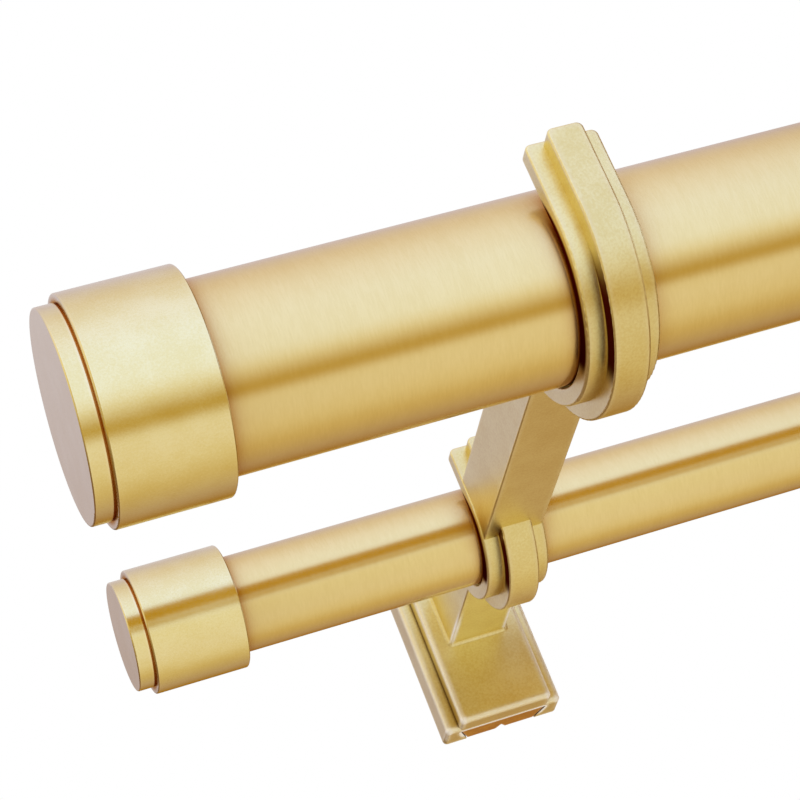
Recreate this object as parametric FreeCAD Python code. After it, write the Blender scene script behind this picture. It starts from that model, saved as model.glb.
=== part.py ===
import FreeCAD, Part
import math
import os

Vector = FreeCAD.Vector

# Sizes are in millimetres. X runs along the poles, the wall is the plane Y = 0,
# the room is at -Y, Z is up, and Z = 0 is the height of both pole axes.

# Poles
front_pole_diameter = 38.1
front_pole_wall = 1.2
front_pole_length = 711.0
front_projection = 168.2
rear_pole_diameter = 22.2
rear_pole_wall = 1.0
rear_pole_length = 685.0
rear_projection = 58.1
bracket_spacing = 517.0

# End caps
cap_clearance = 0.15
cap_end_gap = 0.2
cap_step = 1.7
cap_edge = 0.35
cap_groove = 0.4
front_cap_wall = 3.3
front_cap_sleeve = 22.7
front_cap_grip = 21.0
front_cap_button = 4.0
rear_cap_wall = 3.0
rear_cap_sleeve = 21.4
rear_cap_grip = 19.7
rear_cap_button = 3.8
cap_end_wall = 2.6
cap_stop_width = 2.6

# Bracket arm and cups
arm_width = 14.4
arm_height = 14.8
arm_edge = 0.4
foot_fillet = 1.0
cup_clearance = 1.5
seat_gap = 0.3
cup_width = 15.0
cup_edge = 0.45
tip_round = 1.4
band_width = 7.4
front_cup_wall = 3.65
front_band_rise = 3.9
front_tip_height = 17.95
rear_cup_wall = 3.35
rear_band_rise = 3.6
rear_tip_height = 15.4

# Wall cover with its dovetail groove, and the wall plate that the groove slides over
cover_width = 30.1
cover_height = 55.2
cover_side_depth = 7.6
cover_band_depth = 12.2
cover_band_width = 23.7
cover_edge = 1.1
cover_top_wall = 3.3
plate_thickness = 5.6
plate_front_width = 22.0
plate_back_width = 17.4
plate_edge = 0.4
plate_clearance = 0.3
plate_recess = 0.2
plate_hole_spacing = 30.0
plate_hole_diameter = 4.5
screw_head_diameter = 8.8
notch_width = 2.6
notch_depth = 2.0
notch_height = 4.0

# Grub screws
grub_diameter = 4.0
grub_clearance = 0.05
grub_socket = 2.0
grub_socket_depth = 1.5
grub_chamfer = 0.4
grub_tip_gap = 0.05
pole_grub_length = 7.0
cap_grub_length = 3.0
pole_grub_angle = 45.0

# Values that follow from the sizes above
front_pole_radius = front_pole_diameter / 2
rear_pole_radius = rear_pole_diameter / 2
cup_lift = cup_clearance - seat_gap
front_cup_inner = front_pole_radius + cup_clearance
rear_cup_inner = rear_pole_radius + cup_clearance
bracket_x = bracket_spacing / 2
groove_top = cover_height / 2 - cover_top_wall
cut_margin = arm_width


def tube(diameter, wall, length, y):
    # A plain pole along X, centred on X = 0.
    start = Vector(-length / 2, y, 0)
    along = Vector(1, 0, 0)
    outside = Part.makeCylinder(diameter / 2, length, start, along)
    inside = Part.makeCylinder(diameter / 2 - wall, length, start, along)
    return outside.cut(inside)


def rounded_profile(points, rounds):
    # A closed XY outline in which each corner with a radius gets a true arc.
    count = len(points)
    edges = []
    ends = []
    for i in range(count):
        here = Vector(points[i][0], points[i][1], 0)
        if not rounds[i]:
            ends.append((here, here))
            continue
        back = Vector(points[i - 1][0], points[i - 1][1], 0) - here
        ahead = Vector(points[(i + 1) % count][0], points[(i + 1) % count][1], 0) - here
        back.normalize()
        ahead.normalize()
        half = back.getAngle(ahead) / 2
        reach = rounds[i] / math.tan(half)
        middle = back + ahead
        middle.normalize()
        centre = here + middle * (rounds[i] / math.sin(half))
        first = here + back * reach
        last = here + ahead * reach
        edges.append(Part.Arc(first, centre - middle * rounds[i], last).toShape())
        ends.append((first, last))
    for i in range(count):
        edges.append(Part.LineSegment(ends[i][1], ends[(i + 1) % count][0]).toShape())
    return Part.Face(Part.Wire(Part.__sortEdges__(edges)))


def end_cap(pole_radius, wall, sleeve, grip, button):
    # A turned cap along +X: X = 0 is the open end, and the button closes the far end.
    bore = pole_radius + cap_clearance
    outer = bore + wall
    rim = outer - cap_step
    depth = grip + cap_end_gap
    total = sleeve + button
    relief = pole_radius - cap_stop_width
    points = [
        (0, bore),
        (0, outer),
        (sleeve, outer),
        (sleeve, rim - cap_groove),
        (sleeve + cap_groove, rim - cap_groove),
        (sleeve + cap_groove, rim),
        (total, rim),
        (total, 0),
        (total - cap_end_wall, 0),
        (total - cap_end_wall, relief),
        (depth, relief),
        (depth, bore),
    ]
    rounds = [0, cap_edge, cap_edge, 0, 0, 0, cap_edge, 0, 0, 0, 0, 0]
    profile = rounded_profile(points, rounds)
    return profile.revolve(Vector(0, 0, 0), Vector(1, 0, 0), 360)


def grub_screw(length):
    # A grub screw along +Z: the point is at Z = 0 and the hexagon socket opens at the far end.
    radius = grub_diameter / 2 - grub_clearance
    body = Part.makeCylinder(radius, length)
    rims = [e for e in body.Edges if isinstance(e.Curve, Part.Circle)]
    body = body.makeChamfer(grub_chamfer, rims)
    corner = grub_socket / math.sqrt(3)
    hexagon = Part.makePolygon([
        Vector(corner * math.cos(math.radians(60 * i)), corner * math.sin(math.radians(60 * i)), 0)
        for i in range(7)
    ])
    socket = Part.Face(hexagon).extrude(Vector(0, 0, grub_socket_depth))
    socket.translate(Vector(0, 0, length - grub_socket_depth))
    return body.cut(socket)


def placed_along(shape, point, direction):
    # The shape with its own +Z turned to the direction and its origin set on the point.
    shape = shape.copy()
    turn = FreeCAD.Rotation(Vector(0, 0, 1), direction)
    shape.Placement = FreeCAD.Placement(point, turn)
    return shape


def cap_with_hole(pole_radius, wall, sleeve, grip, button):
    # The cap with the hole for its grub screw on the wall side.
    cap = end_cap(pole_radius, wall, sleeve, grip, button)
    start = Vector(grip / 2, pole_radius, 0)
    return cap.cut(Part.makeCylinder(grub_diameter / 2, 2 * wall, start, Vector(0, 1, 0)))


def set_on_pole(cap, pole_length, grip, y, side):
    # The cap pushed over one pole end: side is 1 for the right end and -1 for the left.
    cap = cap.copy()
    if side < 0:
        cap = cap.mirror(Vector(0, 0, 0), Vector(1, 0, 0))
    cap.translate(Vector(side * (pole_length / 2 - grip), y, 0))
    return cap


def cup_block(radius, top, width, y):
    # A block with a half-round lower side around the cup's centre and upright walls above it.
    z = cup_lift
    arc = Part.Arc(Vector(0, y - radius, z), Vector(0, y, z - radius), Vector(0, y + radius, z))
    corners = [
        Vector(0, y + radius, z),
        Vector(0, y + radius, top),
        Vector(0, y - radius, top),
        Vector(0, y - radius, z),
    ]
    edges = [arc.toShape()]
    edges += [Part.LineSegment(corners[i], corners[i + 1]).toShape() for i in range(3)]
    block = Part.Face(Part.Wire(edges)).extrude(Vector(width, 0, 0))
    block.translate(Vector(-width / 2, 0, 0))
    return block


def lies_across(edge):
    # True for a straight edge along Y.
    return edge.BoundBox.XLength < 0.01 and edge.BoundBox.ZLength < 0.01


def cup_strap(inner, outer, top, width, y):
    # One band bent to an open cup, with rounded tips and every other sharp edge softened.
    hollow = cup_block(inner, top + cut_margin, width + cut_margin, y)
    strap = cup_block(outer, top, width, y).cut(hollow)
    strap = strap.makeFillet(tip_round, [edge for edge in strap.Edges if lies_across(edge)])
    sharp = []
    for edge in strap.Edges:
        first, last = edge.Vertexes[0].Point, edge.Vertexes[-1].Point
        along = abs(first.x - last.x) > width / 2
        smooth = along and abs(first.z - cup_lift) < 0.001
        if smooth or lies_across(edge):
            continue
        sharp.append(edge)
    return strap.makeFillet(cup_edge, sharp)


def cup(inner, wall, rise, top, y):
    # A wide low band with a narrow raised band along its middle.
    low_band = cup_strap(inner, inner + wall, top, cup_width, y)
    raised_band = cup_strap(inner + wall / 3, inner + wall + rise, top, band_width, y)
    return [low_band, raised_band]


def stepped_block(width, depth, edge):
    # One step of the wall cover: a block from the wall with its front edges and corners rounded.
    block = Part.makeBox(width, depth, cover_height, Vector(-width / 2, -depth, -cover_height / 2))
    rounded = []
    for e in block.Edges:
        ys = [v.Point.y for v in e.Vertexes]
        if max(ys) > -0.001 and min(ys) > -0.001:
            continue
        rounded.append(e)
    return block.makeFillet(edge, rounded)


def dovetail(back_width, front_width, depth, bottom, top):
    # A bar along Z that is narrow at the wall and wide towards the room.
    outline = Part.makePolygon([
        Vector(-back_width / 2, 0, bottom),
        Vector(back_width / 2, 0, bottom),
        Vector(front_width / 2, -depth, bottom),
        Vector(-front_width / 2, -depth, bottom),
        Vector(-back_width / 2, 0, bottom),
    ])
    return Part.Face(outline).extrude(Vector(0, 0, top - bottom))


def wall_cover():
    # The stepped cover with the dovetail groove in its back, open at the lower end.
    cover = stepped_block(cover_width, cover_side_depth, cover_edge)
    cover = cover.fuse(stepped_block(cover_band_width, cover_band_depth, cover_edge))
    groove = dovetail(
        plate_back_width + 2 * plate_clearance,
        plate_front_width + 2 * plate_clearance,
        plate_thickness + plate_clearance,
        -cover_height,
        groove_top,
    )
    return cover.cut(groove)


def arm_pieces():
    # The straight arm, cut away inside each cup so that it ends within the cup's wall.
    length = front_projection - cover_band_depth / 2
    corner = Vector(-arm_width / 2, -front_projection, -arm_height / 2)
    arm = Part.makeBox(arm_width, length, arm_height, corner)
    long_edges = [e for e in arm.Edges if e.BoundBox.YLength > length / 2]
    arm = arm.makeFillet(arm_edge, long_edges)
    for inner, wall, y in (
        (front_cup_inner, front_cup_wall, -front_projection),
        (rear_cup_inner, rear_cup_wall, -rear_projection),
    ):
        arm = arm.cut(cup_block(inner + wall / 2, arm_height, arm_width + cut_margin, y))
    return arm.Solids


def grub_direction():
    # The pole screws point up and away from the wall, so their sockets face down and back.
    angle = math.radians(pole_grub_angle)
    return Vector(0, math.cos(angle), -math.sin(angle))


def bracket():
    # The one-piece casting: wall cover, arm and two cups.
    arm = arm_pieces()
    arm.sort(key=lambda solid: solid.CenterOfMass.y)
    casting = wall_cover().fuse(arm[-1])
    foot = []
    for edge in casting.Edges:
        box = edge.BoundBox
        on_face = abs(box.YMin + cover_band_depth) < 0.001 and abs(box.YMax + cover_band_depth) < 0.001
        near_x = max(-box.XMin, box.XMax) < arm_width / 2 + arm_edge
        near_z = max(-box.ZMin, box.ZMax) < arm_height / 2 + arm_edge
        if on_face and near_x and near_z:
            foot.append(edge)
    casting = casting.makeFillet(foot_fillet, foot)
    pieces = arm[:-1]
    pieces += cup(front_cup_inner, front_cup_wall, front_band_rise, front_tip_height, -front_projection)
    pieces += cup(rear_cup_inner, rear_cup_wall, rear_band_rise, rear_tip_height, -rear_projection)
    casting = casting.multiFuse(pieces).removeSplitter()
    for pole_radius, y in ((front_pole_radius, -front_projection), (rear_pole_radius, -rear_projection)):
        start = Vector(0, y, 0) + grub_direction() * pole_radius
        hole = Part.makeCylinder(grub_diameter / 2, 4 * pole_grub_length, start, grub_direction())
        casting = casting.cut(hole)
    return casting.Solids[0]


def wall_plate():
    # The dovetail plate that is screwed to the wall behind the cover.
    bottom = -cover_height / 2 + plate_recess
    top = groove_top - seat_gap
    plate = dovetail(plate_back_width, plate_front_width, plate_thickness, bottom, top)
    plate = plate.makeFillet(plate_edge, [e for e in plate.Edges if e.BoundBox.ZLength > cover_height / 2])
    head = screw_head_diameter / 2
    hole = plate_hole_diameter / 2
    for z in (-plate_hole_spacing / 2, plate_hole_spacing / 2):
        into_room = Vector(0, -1, 0)
        shank = Part.makeCylinder(hole, plate_thickness, Vector(0, 0, z), into_room)
        sink = Part.makeCone(hole, head, head - hole, Vector(0, head - hole - plate_thickness, z), into_room)
        plate = plate.cut(shank).cut(sink)
    for z in (bottom, top - notch_height):
        notch = Part.Face(Part.makePolygon([
            Vector(-notch_width / 2, 0, z),
            Vector(notch_width / 2, 0, z),
            Vector(0, -notch_depth, z),
            Vector(-notch_width / 2, 0, z),
        ]))
        plate = plate.cut(notch.extrude(Vector(0, 0, notch_height)))
    return plate


def pole_screws():
    # One grub screw in each cup, its point at the pole.
    screws = []
    for x in (-bracket_x, bracket_x):
        for pole_radius, y in ((front_pole_radius, -front_projection), (rear_pole_radius, -rear_projection)):
            point = Vector(x, y, 0) + grub_direction() * (pole_radius + grub_tip_gap)
            screws.append(placed_along(grub_screw(pole_grub_length), point, grub_direction()))
    return screws


def cap_screws():
    # One grub screw in each end cap, on the wall side.
    screws = []
    for pole_radius, length, grip, y in (
        (front_pole_radius, front_pole_length, front_cap_grip, -front_projection),
        (rear_pole_radius, rear_pole_length, rear_cap_grip, -rear_projection),
    ):
        for side in (-1, 1):
            x = side * (length / 2 - grip / 2)
            point = Vector(x, y + pole_radius + grub_tip_gap, 0)
            screws.append(placed_along(grub_screw(cap_grub_length), point, Vector(0, 1, 0)))
    return screws


def moved(shape, x):
    # A copy of the shape moved along the poles.
    shape = shape.copy()
    shape.translate(Vector(x, 0, 0))
    return shape


nodes = {
    "front_pole": tube(front_pole_diameter, front_pole_wall, front_pole_length, -front_projection),
    "rear_pole": tube(rear_pole_diameter, rear_pole_wall, rear_pole_length, -rear_projection),
}
front_cap = cap_with_hole(
    front_pole_radius, front_cap_wall, front_cap_sleeve, front_cap_grip, front_cap_button)
rear_cap = cap_with_hole(
    rear_pole_radius, rear_cap_wall, rear_cap_sleeve, rear_cap_grip, rear_cap_button)
casting = bracket()
plate = wall_plate()
for name, side in (("left", -1), ("right", 1)):
    nodes["front_end_cap_" + name] = set_on_pole(
        front_cap, front_pole_length, front_cap_grip, -front_projection, side)
    nodes["rear_end_cap_" + name] = set_on_pole(
        rear_cap, rear_pole_length, rear_cap_grip, -rear_projection, side)
    nodes["bracket_" + name] = moved(casting, side * bracket_x)
    nodes["wall_plate_" + name] = moved(plate, side * bracket_x)
nodes["pole_lock_screws"] = Part.makeCompound(pole_screws())
nodes["cap_lock_screws"] = Part.makeCompound(cap_screws())

os.makedirs("parts", exist_ok=True)
for name, shape in nodes.items():
    shape.exportStep("parts/" + name + ".step")
    print(name, len(shape.Solids), "solids", shape.isValid(), round(shape.Volume, 1), "mm3")
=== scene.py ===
import bpy
import bmesh
import math
from mathutils import Matrix, Vector


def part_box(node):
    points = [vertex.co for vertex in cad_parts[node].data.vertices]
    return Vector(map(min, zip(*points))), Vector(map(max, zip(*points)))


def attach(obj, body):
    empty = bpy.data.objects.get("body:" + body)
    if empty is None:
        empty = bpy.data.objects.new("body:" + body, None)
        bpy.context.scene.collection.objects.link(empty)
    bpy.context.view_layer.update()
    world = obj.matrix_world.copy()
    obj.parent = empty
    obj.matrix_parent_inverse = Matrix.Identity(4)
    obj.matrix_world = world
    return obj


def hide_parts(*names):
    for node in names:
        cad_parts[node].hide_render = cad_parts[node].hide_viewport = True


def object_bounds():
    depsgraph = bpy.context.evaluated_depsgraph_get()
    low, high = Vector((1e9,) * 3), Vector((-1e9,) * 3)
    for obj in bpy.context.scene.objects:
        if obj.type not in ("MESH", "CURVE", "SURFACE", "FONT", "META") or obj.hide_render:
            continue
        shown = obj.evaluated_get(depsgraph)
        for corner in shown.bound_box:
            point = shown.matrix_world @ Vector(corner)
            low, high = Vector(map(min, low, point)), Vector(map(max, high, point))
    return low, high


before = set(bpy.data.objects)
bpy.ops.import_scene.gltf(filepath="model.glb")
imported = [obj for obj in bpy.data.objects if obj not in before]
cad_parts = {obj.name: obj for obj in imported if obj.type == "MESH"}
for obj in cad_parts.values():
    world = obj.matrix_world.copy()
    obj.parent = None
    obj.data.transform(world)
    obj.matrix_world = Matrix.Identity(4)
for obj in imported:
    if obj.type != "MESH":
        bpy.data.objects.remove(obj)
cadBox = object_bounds()
scene = bpy.context.scene
scene.view_settings.view_transform = "Standard"
print("frame loaded:", len(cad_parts), "pieces")


class Wire:
    # one socket of a node tree, so that sums on sockets read as plain sums
    def __init__(self, tree, socket=None):
        self.tree = tree
        self.socket = socket

    def add(self, kind, settings=None, sockets=None, output=0):
        node = self.tree.nodes.new(kind)
        for name, value in (settings or {}).items():
            if name == "stops":
                self.setStops(node.color_ramp, value)
            else:
                setattr(node, name, value)
        for name, value in (sockets or {}).items():
            if isinstance(value, Wire):
                self.tree.links.new(value.socket, node.inputs[name])
            else:
                node.inputs[name].default_value = value
        return Wire(self.tree, node.outputs[output] if node.outputs else None)

    def setStops(self, ramp, stops):
        while len(ramp.elements) < len(stops):
            ramp.elements.new(1.0)
        for element, (place, colour) in zip(ramp.elements, stops):
            element.position = place
            element.color = (*colour, 1.0)

    def split(self, vector):
        parts = self.add("ShaderNodeSeparateXYZ", sockets={0: vector}).socket.node
        return [Wire(self.tree, part) for part in parts.outputs]

    def blend(self, factor, first, second):
        sockets = {"Factor": factor, 6: first, 7: second}
        return self.add("ShaderNodeMix", {"data_type": "RGBA"}, sockets, output=2)

    def maths(self, operation, first, second=0.0):
        return self.add("ShaderNodeMath", {"operation": operation}, {0: first, 1: second})

    def __add__(self, other):
        return self.maths("ADD", self, other)

    def __radd__(self, other):
        return self.maths("ADD", other, self)

    def __sub__(self, other):
        return self.maths("SUBTRACT", self, other)

    def __rsub__(self, other):
        return self.maths("SUBTRACT", other, self)

    def __mul__(self, other):
        return self.maths("MULTIPLY", self, other)

    def __rmul__(self, other):
        return self.maths("MULTIPLY", other, self)

    def __truediv__(self, other):
        return self.maths("DIVIDE", self, other)


def startMaterial(name):
    material = bpy.data.materials.new(name)
    material.use_nodes = True
    material.node_tree.nodes.clear()
    return material, Wire(material.node_tree)


def smooth(wire, value, low, high):
    return wire.add("ShaderNodeMapRange", {"interpolation_type": "SMOOTHSTEP"}, {
        "Value": value, "From Min": low, "From Max": high})


# camera: before the poles, below and left of their ends, looking up towards the wall

photoCamera = {
    "lens": 112.889,
    "sensor": 36.0,
    "nearest": 0.01,
    "place": (-0.42105, -0.57630, -0.21175),
    "across": (0.931802, -0.109110, -0.346178),
    "up": (0.255353, -0.480748, 0.838854),
}


def makeCamera():
    data = bpy.data.cameras.new("photoCamera")
    data.lens = photoCamera["lens"]
    data.sensor_width = photoCamera["sensor"]
    data.clip_start = photoCamera["nearest"]
    across = Vector(photoCamera["across"])
    up = Vector(photoCamera["up"])
    turn = Matrix((across, up, across.cross(up))).transposed().to_4x4()
    camera = bpy.data.objects.new("photoCamera", data)
    camera.matrix_world = Matrix.Translation(photoCamera["place"]) @ turn
    scene.collection.objects.link(camera)
    scene.camera = camera


makeCamera()
print("camera set")


# studio: white world, pale floor, one soft lamp and a light tent that the metal mirrors

studio = {
    "worldLight": 0.85,
    "floorDrop": 0.34,
    "floorSize": 60.0,
    "floorColour": (0.93, 0.92, 0.90),
    "lampPlace": (-0.9, -1.3, 1.7),
    "lampSize": 1.6,
    "lampPower": 30.0,
    "tentRadius": 6.0,
    "tentSegments": (64, 32),
    "tentRange": 2.0,
    # degrees round the poles: 0 is the room, 90 is up, 180 is the wall side, -90 is down
    "tentCloth": [
        (-180, (0.38, 0.18, 0.00)),
        (-152, (0.54, 0.39, 0.28)),
        (-120, (0.72, 0.56, 0.30)),
        (-97, (0.86, 0.76, 0.60)),
        (-75, (0.90, 0.83, 0.76)),
        (-30, (0.93, 0.89, 0.82)),
        (-12, (1.02, 1.12, 1.55)),
        (25, (1.02, 1.13, 1.68)),
        (55, (0.98, 1.01, 1.40)),
        (88, (0.86, 0.78, 0.88)),
        (120, (0.70, 0.63, 0.84)),
        (147, (0.73, 0.69, 0.81)),
        (160, (0.34, 0.19, 0.03)),
        (180, (0.38, 0.18, 0.00)),
    ],
    # the same for the left part of the tent, which is in shade
    "tentShade": [
        (-180, (0.24, 0.12, 0.06)),
        (-120, (0.20, 0.11, 0.05)),
        (-50, (0.48, 0.36, 0.18)),
        (0, (0.78, 0.63, 0.34)),
        (30, (0.95, 0.82, 0.52)),
        (70, (0.98, 0.90, 0.95)),
        (115, (0.70, 0.64, 0.82)),
        (160, (0.61, 0.56, 0.80)),
        (180, (0.30, 0.19, 0.11)),
    ],
    # places along the poles, as shares of the radius: shade to the left, a dark band to the right
    "shadeStart": -0.10,
    "shadeFull": -0.30,
    "farStart": 0.28,
    "farFull": 0.66,
    "farColour": (0.15, 0.075, 0.01),
    "endStart": 0.82,       # from here the band clears again
    "endFull": 0.95,
    # upright cards, seen from their wall side only, that the poles mirror as stripes: one before each pole
    "cards": {
        "frontCard": {"place": (-0.2106, -0.0427), "width": 0.05, "length": 3.0, "solid": 0.0,
                      "colour": (0.56, 0.37, 0.06)},
        "backCard": {"place": (-0.1455, 0.0020), "width": 0.036, "length": 0.71, "solid": 0.65,
                     "colour": (0.55, 0.31, 0.00)},
    },
}


def lightWorld():
    world = bpy.data.worlds.new("studioWorld")
    world.use_nodes = True
    world.node_tree.nodes.clear()
    wire = Wire(world.node_tree)
    white = (1.0, 1.0, 1.0, 1.0)
    soft = wire.add("ShaderNodeBackground", sockets={"Color": white, "Strength": studio["worldLight"]})
    plain = wire.add("ShaderNodeBackground", sockets={"Color": white, "Strength": 1.0})
    path = wire.add("ShaderNodeLightPath").socket.node
    seen = Wire(wire.tree, path.outputs["Is Camera Ray"])
    seen = seen + Wire(wire.tree, path.outputs["Is Glossy Ray"])
    seen = seen + Wire(wire.tree, path.outputs["Is Transmission Ray"])
    mixed = wire.add("ShaderNodeMixShader", sockets={0: seen, 1: soft, 2: plain})
    wire.add("ShaderNodeOutputWorld", sockets={"Surface": mixed})
    scene.world = world


def seenOnlyBy(piece, *rays):
    for ray in ("camera", "diffuse", "glossy", "transmission", "volume_scatter", "shadow"):
        setattr(piece, "visible_" + ray, ray in rays)


def makeFloor():
    half = studio["floorSize"] / 2
    low = cadBox[0].z - studio["floorDrop"]
    mesh = bpy.data.meshes.new("floor")
    corners = [(-half, -half, low), (half, -half, low), (half, half, low), (-half, half, low)]
    mesh.from_pydata(corners, [], [(0, 1, 2, 3)])
    floor = bpy.data.objects.new("floor", mesh)
    scene.collection.objects.link(floor)
    material, wire = startMaterial("floorPaper")
    paper = wire.add("ShaderNodeBsdfDiffuse", sockets={"Color": (*studio["floorColour"], 1.0)})
    clear = wire.add("ShaderNodeBsdfTransparent")
    under = wire.add("ShaderNodeNewGeometry", output="Backfacing")   # see-through from below
    sheet = wire.add("ShaderNodeMixShader", sockets={0: under, 1: paper, 2: clear})
    wire.add("ShaderNodeOutputMaterial", sockets={"Surface": sheet})
    mesh.materials.append(material)
    floor.visible_glossy = False      # the metal mirrors the tent instead


def tentRamp(wire, turn, bands):
    stops = []
    for degrees, colour in bands:
        dimmed = tuple(part / studio["tentRange"] for part in colour)   # ramp colours stay below 1
        stops.append(((degrees + 180) / 360, dimmed))
    return wire.add("ShaderNodeValToRGB", {"stops": stops}, {"Fac": turn})


def makeTent():
    mesh = bpy.data.meshes.new("lightTent")
    shell = bmesh.new()
    gores, rows = studio["tentSegments"]
    bmesh.ops.create_uvsphere(shell, u_segments=gores, v_segments=rows, radius=studio["tentRadius"])
    shell.to_mesh(mesh)
    shell.free()
    tent = bpy.data.objects.new("lightTent", mesh)
    scene.collection.objects.link(tent)
    seenOnlyBy(tent, "glossy")
    material, wire = startMaterial("tentCloth")
    place = wire.add("ShaderNodeTexCoord", output="Object")
    x, y, z = wire.split(place)
    turn = wire.maths("ARCTAN2", z, -1.0 * y) / (2 * math.pi) + 0.5
    cloth = tentRamp(wire, turn, studio["tentCloth"])
    shade = tentRamp(wire, turn, studio["tentShade"])
    across = x / studio["tentRadius"]
    near = smooth(wire, across, studio["shadeStart"], studio["shadeFull"])
    far = smooth(wire, across, studio["farStart"], studio["farFull"])
    far = far * smooth(wire, across, studio["endFull"], studio["endStart"])
    seen = wire.blend(near, cloth, shade)
    seen = wire.blend(far, seen, (*studio["farColour"], 1.0))
    glow = wire.add("ShaderNodeEmission", sockets={"Color": seen, "Strength": studio["tentRange"]})
    wire.add("ShaderNodeOutputMaterial", sockets={"Surface": glow})
    material.cycles.emission_sampling = "NONE"
    mesh.materials.append(material)


def makeCard(name, card):
    across = Vector((0.0, 0.0, card["width"] / 2))
    along = Vector((card["length"] / 2, 0.0, 0.0))
    middle = Vector((0.0, *card["place"]))
    corners = [middle + along * i + across * j for i, j in ((-1, -1), (1, -1), (1, 1), (-1, 1))]
    mesh = bpy.data.meshes.new(name)
    mesh.from_pydata(corners, [], [(0, 1, 2, 3)])
    cardUv = mesh.uv_layers.new(name="cardUv")
    for loop, uv in zip(cardUv.data, ((0, 0), (1, 0), (1, 1), (0, 1))):
        loop.uv = uv
    sheet = bpy.data.objects.new(name, mesh)
    scene.collection.objects.link(sheet)
    seenOnlyBy(sheet, "glossy")
    material, wire = startMaterial(name)
    height = wire.split(wire.add("ShaderNodeUVMap", {"uv_map": "cardUv"}))[1]
    fromMiddle = wire.maths("ABSOLUTE", height - 0.5) * 2.0
    fade = smooth(wire, fromMiddle, 1.0, card["solid"])      # soft long edges
    wallSide = wire.add("ShaderNodeNewGeometry", output="Backfacing")
    dark = wire.add("ShaderNodeEmission", sockets={"Color": (*card["colour"], 1.0), "Strength": 1.0})
    clear = wire.add("ShaderNodeBsdfTransparent")
    soft = wire.add("ShaderNodeMixShader", sockets={0: fade * wallSide, 1: clear, 2: dark})
    wire.add("ShaderNodeOutputMaterial", sockets={"Surface": soft})
    material.cycles.emission_sampling = "NONE"
    mesh.materials.append(material)


def makeLamp():
    data = bpy.data.lights.new("softLamp", "AREA")
    data.shape = "DISK"
    data.size = studio["lampSize"]
    data.energy = studio["lampPower"]
    lamp = bpy.data.objects.new("softLamp", data)
    lamp.location = studio["lampPlace"]
    lamp.rotation_mode = "QUATERNION"
    lamp.rotation_quaternion = (-Vector(studio["lampPlace"])).to_track_quat("-Z", "Y")
    lamp.visible_glossy = False
    scene.collection.objects.link(lamp)


lightWorld()
makeFloor()
makeTent()
for name, card in studio["cards"].items():
    makeCard(name, card)
makeLamp()
print("studio set")


# finishes: colour and the deeper tone of its grain, painted shade in crevices, painted highlights on edges

poleFinish = {
    "colour": (0.83, 0.68, 0.305),
    "deep": (0.80, 0.645, 0.275),
    "contrast": 0.15,
    # painted shade: dark metal in hollows and close to other parts
    "shadeColour": (0.36, 0.11, 0.005),
    "shadeGlance": (1.0, 0.6, 0.15),
    "shadeReach": 0.010,
    "shadeRange": (0.28, 0.95),
    # painted highlight: pale metal along outer edges
    "edgeHighlight": (0.88, 0.76, 0.42),
    "edgeHighlightReach": 0.0004,
    "roughness": 0.23,
    "roughnessSpread": 0.03,
    "streak": (3600.0, 420.0, 420.0),
    "streakDetail": 3.0,
    "streakShare": 0.65,
    "band": (420.0, 60.0, 60.0),
    "bandDetail": 2.0,
    "bumpStrength": 0.15,
    "bumpDepth": 0.00002,
}

capFinish = {
    "colour": (0.86, 0.77, 0.40),
    "deep": (0.81, 0.695, 0.31),
    "contrast": 0.16,
    # painted shade: dark metal in hollows and close to other parts
    "shadeColour": (0.48, 0.17, 0.001),
    "shadeGlance": (0.85, 0.52, 0.02),
    "shadeReach": 0.0016,
    "shadeRange": (0.20, 0.75),
    # painted shade on faces square to the poles
    "sideShade": 0.25,
    # painted highlight: pale metal along outer edges
    "edgeHighlight": (0.91, 0.81, 0.46),
    "edgeHighlightReach": 0.0006,
    "roughness": 0.22,
    "roughnessSpread": 0.05,
    "grain": 2400.0,
    "cloud": 130.0,
    "bumpStrength": 0.12,
    "bumpDepth": 0.00004,
}

bracketFinish = {
    "colour": (0.92, 0.83, 0.41),
    "deep": (0.81, 0.68, 0.275),
    "contrast": 0.18,
    # painted shade: dark metal in hollows and close to other parts
    "shadeColour": (0.10, 0.020, 0.001),
    "shadeGlance": (0.45, 0.10, 0.01),
    "shadeReach": 0.0015,
    "shadeRange": (0.35, 0.85),
    # painted shade on faces square to the poles, in the gap round each pole and on the lower half of the
    # step beside it
    "sideShade": 0.80,
    # each range runs from none to full: distances from a pole, then shares of straight below and before it
    "gapShadeRing": (0.0042, 0.0022),
    "stepShade": (0.0042, 0.0050),
    "stepShadeEnd": (0.012, 0.010),
    "stepShadeShare": 0.78,
    "stepShadeLow": (0.02, 0.65),
    "shadeFront": (0.00, 0.38),
    # painted shade in hollows: a quarter as strong towards the room, full from near the wall plates
    "shadeFrom": (-0.034, -0.022, 0.25),    # depth where it starts, where it is full, least share
    # painted highlight: pale, rougher and less metal along outer edges, only between the depths given
    "edgeHighlight": (1.0, 0.97, 0.90),
    "edgeHighlightReach": 0.0016,
    "edgeHighlightRough": 0.35,
    "edgeHighlightPlain": 0.48,
    "edgeHighlightFrom": (-0.034, -0.022, 0.12),
    "edgeHighlightUpTo": (-0.0008, -0.0030, 0.20),
    "roughness": 0.36,
    "roughnessSpread": 0.08,
    "grain": 2000.0,
    "cloud": 90.0,
    "bumpStrength": 0.4,
    "bumpDepth": 0.00005,
}

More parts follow.
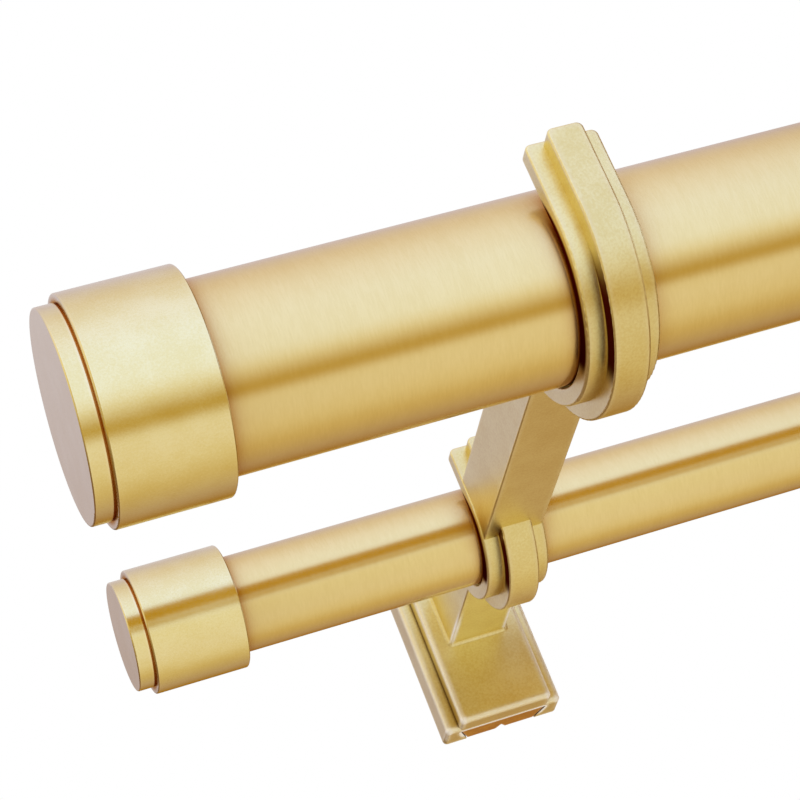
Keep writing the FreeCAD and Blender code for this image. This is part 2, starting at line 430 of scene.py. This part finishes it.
# painted shade: the wall plates take a darker, more orange brass than the castings
shadedPlateFinish = {
    "colour": (0.79, 0.46, 0.08),
    "deep": (0.66, 0.33, 0.04),
    "contrast": 0.15,
    # painted shade: dark metal in hollows and close to other parts
    "shadeColour": (0.16, 0.05, 0.005),
    "shadeGlance": (0.8, 0.4, 0.1),
    "shadeReach": 0.0020,
    "shadeRange": (0.25, 0.80),
    # painted highlight: pale metal along outer edges
    "edgeHighlight": (0.84, 0.55, 0.24),
    "edgeHighlightReach": 0.0006,
    "roughness": 0.42,
    "roughnessSpread": 0.12,
    "grain": 1500.0,
    "cloud": 220.0,
    "bumpStrength": 0.4,
    "bumpDepth": 0.00004,
}

screwFinish = {
    "colour": (0.42, 0.41, 0.40),
    "deep": (0.28, 0.27, 0.26),
    "contrast": 0.15,
    # painted shade: dark metal in hollows and close to other parts
    "shadeColour": (0.05, 0.045, 0.04),
    "shadeGlance": (0.4, 0.4, 0.4),
    "shadeReach": 0.001,
    "shadeRange": (0.20, 0.70),
    # painted highlight: pale metal along outer edges
    "edgeHighlight": (0.55, 0.54, 0.53),
    "edgeHighlightReach": 0.0002,
    "roughness": 0.34,
    "roughnessSpread": 0.12,
    "grain": 4000.0,
    "cloud": 500.0,
    "bumpStrength": 0.4,
    "bumpDepth": 0.00002,
}

# what the finishes have in common
everyFinish = {
    "hollowSamples": 8,
    "edgeRange": (0.04, 0.30),
    "sideRange": (0.85, 0.98),
    "grainDetail": 2.0,
    "grainShare": 0.45,
    "cloudDetail": 3.0,
}


def noise(wire, place, scale, detail):
    return wire.add("ShaderNodeTexNoise", sockets={"Vector": place, "Scale": scale, "Detail": detail})


def stretched(wire, place, scale):
    return wire.add("ShaderNodeMapping", sockets={"Vector": place, "Scale": scale})


def hollowness(wire, reach, inside=False):
    # near hollow corners, or with inside near outer edges
    settings = {"samples": everyFinish["hollowSamples"], "inside": inside}
    return 1.0 - wire.add("ShaderNodeAmbientOcclusion", settings, {"Distance": reach}, output="AO")


def shadeBesidePoles(wire, finish):
    # painted shade on the room side of either pole: 1 in the gap round it, less on the lower half of the
    # step further out
    y, z = wire.split(wire.add("ShaderNodeTexCoord", output="Object"))[1:]
    close = 0.0
    for node in ("front_pole", "rear_pole"):
        low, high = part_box(node)
        middle = (low + high) / 2
        ahead = middle.y - y
        off = wire.maths("SQRT", wire.maths("POWER", ahead, 2.0) + wire.maths("POWER", z - middle.z, 2.0))
        gap = off - (high.z - low.z) / 2
        step = smooth(wire, gap, *finish["stepShade"]) * smooth(wire, gap, *finish["stepShadeEnd"])
        step = step * smooth(wire, (middle.z - z) / off, *finish["stepShadeLow"])
        reached = smooth(wire, gap, *finish["gapShadeRing"]) + step * finish["stepShadeShare"]
        close = close + reached * smooth(wire, ahead / off, *finish["shadeFront"])
    return close


def towardsWall(wire, start, full, least):
    y = wire.split(wire.add("ShaderNodeTexCoord", output="Object"))[1]
    return smooth(wire, y, start, full) * (1.0 - least) + least


# painted highlight along outer edges, where given only between two depths towards the wall
def highlightedEdges(wire, finish):
    edge = smooth(wire, hollowness(wire, finish["edgeHighlightReach"], inside=True), *everyFinish["edgeRange"])
    if "edgeHighlightFrom" in finish:
        edge = edge * towardsWall(wire, *finish["edgeHighlightFrom"])
        edge = edge * towardsWall(wire, *finish["edgeHighlightUpTo"])
    return edge


def sideFaces(wire, finish):
    # faces square to the poles, which take painted shade; on the bracket only beside the poles
    facing = wire.split(wire.add("ShaderNodeTexCoord", output="Normal"))[0]
    sides = smooth(wire, wire.maths("ABSOLUTE", facing), *everyFinish["sideRange"])
    if "gapShadeRing" in finish:
        sides = sides * shadeBesidePoles(wire, finish)
    return sides


# share of the metal left free of painted shade, which darkens hollows, more so towards the wall where set,
# and faces square to the poles where set
def unshadedShare(wire, finish):
    hollow = hollowness(wire, finish["shadeReach"])
    if "shadeFrom" in finish:
        hollow = hollow * towardsWall(wire, *finish["shadeFrom"])
    unshaded = 1.0 - hollow
    if "sideShade" in finish:
        unshaded = unshaded - finish["sideShade"] * sideFaces(wire, finish)
    return smooth(wire, unshaded, *finish["shadeRange"])


def endMetal(wire, finish, tone, relief):
    spread = smooth(wire, tone, 0.5 - finish["contrast"], 0.5 + finish["contrast"])
    edge = highlightedEdges(wire, finish)
    colour = wire.blend(spread, (*finish["deep"], 1.0), (*finish["colour"], 1.0))
    # painted highlight on outer edges
    colour = wire.blend(edge, colour, (*finish["edgeHighlight"], 1.0))
    rough = (tone - 0.5) * finish["roughnessSpread"] * 2.0 + finish["roughness"]
    shine = 1.0
    # the painted highlight also makes edges rougher and less metal, so that they read pale
    if "edgeHighlightPlain" in finish:
        rough = rough + edge * finish["edgeHighlightRough"]
        shine = 1.0 - edge * finish["edgeHighlightPlain"]
    unshaded = unshadedShare(wire, finish)
    bump = wire.add("ShaderNodeBump", sockets={
        "Strength": finish["bumpStrength"], "Distance": finish["bumpDepth"], "Height": relief})
    metal = wire.add("ShaderNodeBsdfPrincipled", sockets={
        "Base Color": colour, "Metallic": shine, "Roughness": rough, "Normal": bump})
    # painted shade: a dark metal that takes over where that share runs low
    shadeLayer = wire.add("ShaderNodeBsdfPrincipled", sockets={
        "Base Color": (*finish["shadeColour"], 1.0), "Specular Tint": (*finish["shadeGlance"], 1.0),
        "Metallic": 1.0, "Roughness": rough, "Normal": bump})
    surface = wire.add("ShaderNodeMixShader", sockets={0: unshaded, 1: shadeLayer, 2: metal})
    wire.add("ShaderNodeOutputMaterial", sockets={"Surface": surface})


def brushedBrass(name, finish):
    material, wire = startMaterial(name)
    place = wire.add("ShaderNodeTexCoord", output="Object")
    fine = noise(wire, stretched(wire, place, finish["streak"]), 1.0, finish["streakDetail"])
    wide = noise(wire, stretched(wire, place, finish["band"]), 1.0, finish["bandDetail"])
    share = finish["streakShare"]
    endMetal(wire, finish, share * fine + (1.0 - share) * wide, fine)
    return material


def satinCasting(name, finish):
    material, wire = startMaterial(name)
    place = wire.add("ShaderNodeTexCoord", output="Object")
    grain = noise(wire, place, finish["grain"], everyFinish["grainDetail"])
    cloud = noise(wire, place, finish["cloud"], everyFinish["cloudDetail"])
    share = everyFinish["grainShare"]
    endMetal(wire, finish, share * grain + (1.0 - share) * cloud, grain)
    return material


poleBrass = brushedBrass("poleBrass", poleFinish)
capBrass = satinCasting("capBrass", capFinish)
bracketBrass = satinCasting("bracketBrass", bracketFinish)
shadedPlateBrass = satinCasting("shadedPlateBrass", shadedPlateFinish)
screwSteel = satinCasting("screwSteel", screwFinish)
print("finishes made")


# geometry trees

def startTree(name, sizes):
    tree = bpy.data.node_groups.new(name, "GeometryNodeTree")
    tree.interface.new_socket("Geometry", in_out="INPUT", socket_type="NodeSocketGeometry")
    for size, kind in sizes.items():
        tree.interface.new_socket(size, in_out="INPUT", socket_type="NodeSocket" + kind)
    tree.interface.new_socket("Geometry", in_out="OUTPUT", socket_type="NodeSocketGeometry")
    given = tree.nodes.new("NodeGroupInput")
    return Wire(tree), {socket.name: Wire(tree, socket) for socket in given.outputs if socket.name}


def endTree(wire, shape, material, sharp):
    # smooth faces with sharp edges kept, then plain mesh and finish
    angle = wire.add("GeometryNodeInputMeshEdgeAngle")
    crease = wire.add("FunctionNodeCompare", {"operation": "GREATER_THAN"}, {
        0: angle, 1: math.radians(sharp)})
    shape = wire.add("GeometryNodeRealizeInstances", sockets={"Geometry": shape})
    shape = wire.add("GeometryNodeSetShadeSmooth", sockets={"Geometry": shape, "Shade Smooth": True})
    shape = wire.add("GeometryNodeStoreNamedAttribute", {"data_type": "BOOLEAN", "domain": "EDGE"}, {
        "Geometry": shape, "Name": "sharp_edge", "Value": crease})
    shape = wire.add("GeometryNodeSetMaterial", sockets={"Geometry": shape, "Material": material})
    wire.add("NodeGroupOutput", sockets={"Geometry": shape})
    return wire.tree


def growPiece(name, tree, values, points=(), directions=()):
    mesh = bpy.data.meshes.new(name)
    mesh.from_pydata(points, [], [])
    pointing = mesh.attributes.new("pointing", "FLOAT_VECTOR", "POINT")
    for i, direction in enumerate(directions):
        pointing.data[i].vector = direction
    seed = bpy.data.objects.new(name, mesh)
    scene.collection.objects.link(seed)
    modifier = seed.modifiers.new(name, "NODES")
    modifier.node_group = tree
    for socket in tree.interface.items_tree:
        if socket.in_out == "INPUT" and socket.name in values:
            modifier[socket.identifier] = values[socket.name]
    seen = seed.evaluated_get(bpy.context.evaluated_depsgraph_get())
    grown = bpy.data.meshes.new_from_object(seen)
    grown.name = name
    seed.modifiers.clear()
    seed.data = grown
    bpy.data.meshes.remove(mesh)
    return seed


# poles: a filleted wall section swept round the axis

poleSizes = {
    "tubes": {
        "front_pole": {"wall": 0.0012, "edge": 0.0002, "steps": 360},
        "rear_pole": {"wall": 0.0010, "edge": 0.0002, "steps": 288},
    },
    "edgeSteps": 3,
    "sharpAngle": 40.0,
}


def poleTree(material):
    wire, size = startTree("poleTree", {
        "Length": "Float", "Diameter": "Float", "Wall": "Float", "Edge": "Float",
        "Steps": "Int", "Axis": "Vector"})
    section = wire.add("GeometryNodeCurvePrimitiveQuadrilateral", sockets={
        "Width": size["Wall"], "Height": size["Length"]})
    section = wire.add("GeometryNodeFilletCurve", {"mode": "POLY"}, {
        "Curve": section, "Count": poleSizes["edgeSteps"], "Radius": size["Edge"]})
    ring = wire.add("GeometryNodeCurvePrimitiveCircle", sockets={
        "Resolution": size["Steps"], "Radius": (size["Diameter"] - size["Wall"]) * 0.5})
    tube = wire.add("GeometryNodeCurveToMesh", sockets={"Curve": ring, "Profile Curve": section})
    tube = wire.add("GeometryNodeTransform", sockets={
        "Geometry": tube, "Translation": size["Axis"], "Rotation": (0.0, math.radians(90), 0.0)})
    return endTree(wire, tube, material, poleSizes["sharpAngle"])


def makePoles():
    tree = poleTree(poleBrass)
    for node, sizes in poleSizes["tubes"].items():
        low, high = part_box(node)
        pole = growPiece(node + "_brushed", tree, {
            "Length": high.x - low.x,
            "Diameter": max(high.y - low.y, high.z - low.z),
            "Wall": sizes["wall"],
            "Edge": sizes["edge"],
            "Steps": sizes["steps"],
            "Axis": (low + high) / 2,
        })
        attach(pole, "root")
        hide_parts(node)


makePoles()
print("poles made")


# grub screws: a threaded body with a hexagon socket, set on points with their directions

screwSizes = {
    "radius": 0.00195,
    "pitch": 0.0007,
    "threadDepth": 0.00032,
    "crestWidening": 1.3,
    "chamfer": 0.0004,
    "socket": 0.0020,
    "socketDepth": 0.0015,
    "tipGap": 0.00005,
    "lengths": {"pole_lock_screws": 0.007, "cap_lock_screws": 0.003},
    "poleScrewTilt": 45.0,
    "rowsPerTurn": 8,
    "steps": 40,
    "sharpAngle": 35.0,
}


def screwTree(material):
    wire, size = startTree("screwTree", {
        "Length": "Float", "Radius": "Float", "Pitch": "Float", "Thread Depth": "Float", "Chamfer": "Float",
        "Socket": "Float", "Socket Depth": "Float", "Rows": "Int", "Steps": "Int"})
    body = wire.add("GeometryNodeMeshCylinder", {"fill_type": "NGON"}, {
        "Vertices": size["Steps"], "Side Segments": size["Rows"],
        "Radius": size["Radius"], "Depth": size["Length"]})
    x, y, z = wire.split(wire.add("GeometryNodeInputPosition"))
    helix = z / size["Pitch"] - wire.maths("ARCTAN2", y, x) / (2 * math.pi)
    ridge = wire.maths("ABSOLUTE", wire.maths("FRACT", helix) - 0.5) * 2.0
    crest = wire.maths("MINIMUM", ridge * screwSizes["crestWidening"], 1.0)
    threaded = size["Radius"] - size["Thread Depth"] * (1.0 - crest)
    fromEnd = 0.5 * size["Length"] - wire.maths("ABSOLUTE", z)
    coned = size["Radius"] - size["Chamfer"] + fromEnd
    pull = wire.maths("MINIMUM", threaded, coned) / size["Radius"]
    shaped = wire.add("ShaderNodeCombineXYZ", sockets={"X": x * pull, "Y": y * pull, "Z": z})
    body = wire.add("GeometryNodeSetPosition", sockets={"Geometry": body, "Position": shaped})
    key = wire.add("GeometryNodeMeshCylinder", {"fill_type": "NGON"}, {
        "Vertices": 6, "Radius": size["Socket"] / math.sqrt(3), "Depth": 2.0 * size["Socket Depth"]})
    top = wire.add("ShaderNodeCombineXYZ", sockets={"Z": 0.5 * size["Length"]})
    key = wire.add("GeometryNodeTransform", sockets={"Geometry": key, "Translation": top})
    screw = wire.add("GeometryNodeMeshBoolean", {"operation": "DIFFERENCE"}, {
        "Mesh 1": body, "Mesh 2": key})
    screw = wire.add("GeometryNodeTransform", sockets={"Geometry": screw, "Translation": top})
    pointing = wire.add("GeometryNodeInputNamedAttribute", {"data_type": "FLOAT_VECTOR"}, {
        "Name": "pointing"})
    turned = wire.add("FunctionNodeAlignRotationToVector", {"axis": "Z"}, {"Vector": pointing})
    screws = wire.add("GeometryNodeInstanceOnPoints", sockets={
        "Points": size["Geometry"], "Instance": screw, "Rotation": turned})
    return endTree(wire, screws, material, screwSizes["sharpAngle"])


def poleAxis(node):
    low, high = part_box(node)
    return (low + high) / 2, (high.z - low.z) / 2, high.x


def screwSpots():
    tilt = math.radians(screwSizes["poleScrewTilt"])
    down = Vector((0.0, math.cos(tilt), -math.sin(tilt)))
    back = Vector((0.0, 1.0, 0.0))
    spots = {"pole_lock_screws": [], "cap_lock_screws": []}
    for pole in ("front", "rear"):
        axis, radius, end = poleAxis(pole + "_pole")
        reach = radius + screwSizes["tipGap"]
        for side in ("left", "right"):
            low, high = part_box("bracket_" + side)
            cupX = Vector(((low.x + high.x) / 2, 0.0, 0.0))
            spots["pole_lock_screws"].append((axis + cupX + down * reach, down))
            low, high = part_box(pole + "_end_cap_" + side)
            openEnd = high.x if side == "left" else low.x
            poleEnd = -end if side == "left" else end
            capX = Vector(((openEnd + poleEnd) / 2, 0.0, 0.0))
            spots["cap_lock_screws"].append((axis + capX + back * reach, back))
    return spots


def makeScrews():
    tree = screwTree(screwSteel)
    for node, spots in screwSpots().items():
        length = screwSizes["lengths"][node]
        screws = growPiece(node + "_threaded", tree, {
            "Length": length,
            "Radius": screwSizes["radius"],
            "Pitch": screwSizes["pitch"],
            "Thread Depth": screwSizes["threadDepth"],
            "Chamfer": screwSizes["chamfer"],
            "Socket": screwSizes["socket"],
            "Socket Depth": screwSizes["socketDepth"],
            "Rows": round(length / screwSizes["pitch"] * screwSizes["rowsPerTurn"]),
            "Steps": screwSizes["steps"],
        }, [spot for spot, direction in spots], [direction for spot, direction in spots])
        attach(screws, "root")
        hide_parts(node)


makeScrews()
print("screws made")


# brackets, caps and wall plates keep the shape they have

finishOf = {
    "front_end_cap_left": capBrass,
    "front_end_cap_right": capBrass,
    "rear_end_cap_left": capBrass,
    "rear_end_cap_right": capBrass,
    "bracket_left": bracketBrass,
    "bracket_right": bracketBrass,
    "wall_plate_left": shadedPlateBrass,
    "wall_plate_right": shadedPlateBrass,
}

for node, material in finishOf.items():
    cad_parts[node].material_slots[0].material = material
print("castings finished")
